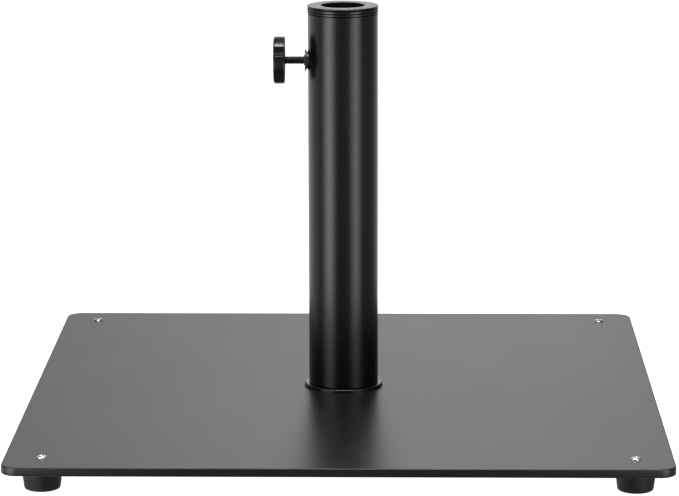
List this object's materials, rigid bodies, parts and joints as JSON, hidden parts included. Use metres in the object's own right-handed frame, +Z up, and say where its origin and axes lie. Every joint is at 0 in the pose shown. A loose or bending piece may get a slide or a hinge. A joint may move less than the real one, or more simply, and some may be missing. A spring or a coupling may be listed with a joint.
{
  "type": "parasol base",
  "caption": "Square steel parasol base with an upright socket tube, a lift-out pole reducer, a side clamp screw with a fluted grip, and a rubber foot under each corner.",
  "frame": {"origin": "on the ground, under the centre of the square plate and on the socket tube's axis", "axes": "+Z up along the socket tube; the clamp screw lies along -X; -Y is the front, +Y the rear"},
  "size_m": [0.6, 0.6, 0.4],
  "materials": {
    "plate_coat": "satin fine-texture powder coat, anthracite black",
    "tube_coat": "semi-gloss powder coat, black",
    "plain_steel": "turned, oiled",
    "zinc_steel": "bright zinc plate",
    "screw_chrome": "polished",
    "black_steel": "black zinc, semi-gloss",
    "insert_brass": "turned",
    "foot_rubber": "moulded, matt",
    "collar_plastic": "moulded, satin",
    "reducer_plastic": "moulded, semi-gloss",
    "seat_plastic": "moulded, matt",
    "grip_plastic": "moulded, gloss",
    "pad_nylon": "natural nylon"
  },
  "bodies": {
    "base": {"base_plate": "plate_coat", "socket_tube": "tube_coat", "tube_flange": "tube_coat", "tube_plug": "plain_steel", "flange_bolts": "zinc_steel", "flange_washers": "zinc_steel", "flange_lock_washers": "zinc_steel", "pole_seat": "seat_plastic", "top_collar": "collar_plastic", "clamp_bush": "black_steel", "foot_front_left": "foot_rubber", "foot_insert_front_left": "insert_brass", "foot_screw_front_left": "screw_chrome", "foot_front_right": "foot_rubber", "foot_insert_front_right": "insert_brass", "foot_screw_front_right": "screw_chrome", "foot_rear_left": "foot_rubber", "foot_insert_rear_left": "insert_brass", "foot_screw_rear_left": "screw_chrome", "foot_rear_right": "foot_rubber", "foot_insert_rear_right": "insert_brass", "foot_screw_rear_right": "screw_chrome"},
    "reducer": {"reducer_bush": "reducer_plastic"},
    "pad": {"clamp_pad": "pad_nylon"},
    "clamp_screw": {"clamp_bolt": "black_steel", "clamp_grip": "grip_plastic", "grip_cap": "grip_plastic"}
  },
  "joints": [
    {"name": "reducer_lift", "type": "slide", "parent": "base", "child": "reducer", "axis": [0, 0, 1], "range_m": [0, 0.06]},
    {"name": "clamp_feed", "type": "slide", "parent": "base", "child": "pad", "axis": [1, 0, 0], "range_m": [-0.0016, 0.0169]},
    {"name": "clamp_turn", "type": "hinge", "parent": "pad", "child": "clamp_screw", "pos_m": [-0.0275, 0, 0.347], "axis": [1, 0, 0], "range_deg": [-450, 4860]}
  ],
  "couplings": [
    {"joint": "clamp_feed", "follows": "clamp_turn", "m_per_rad": 0.00019894}
  ]
}
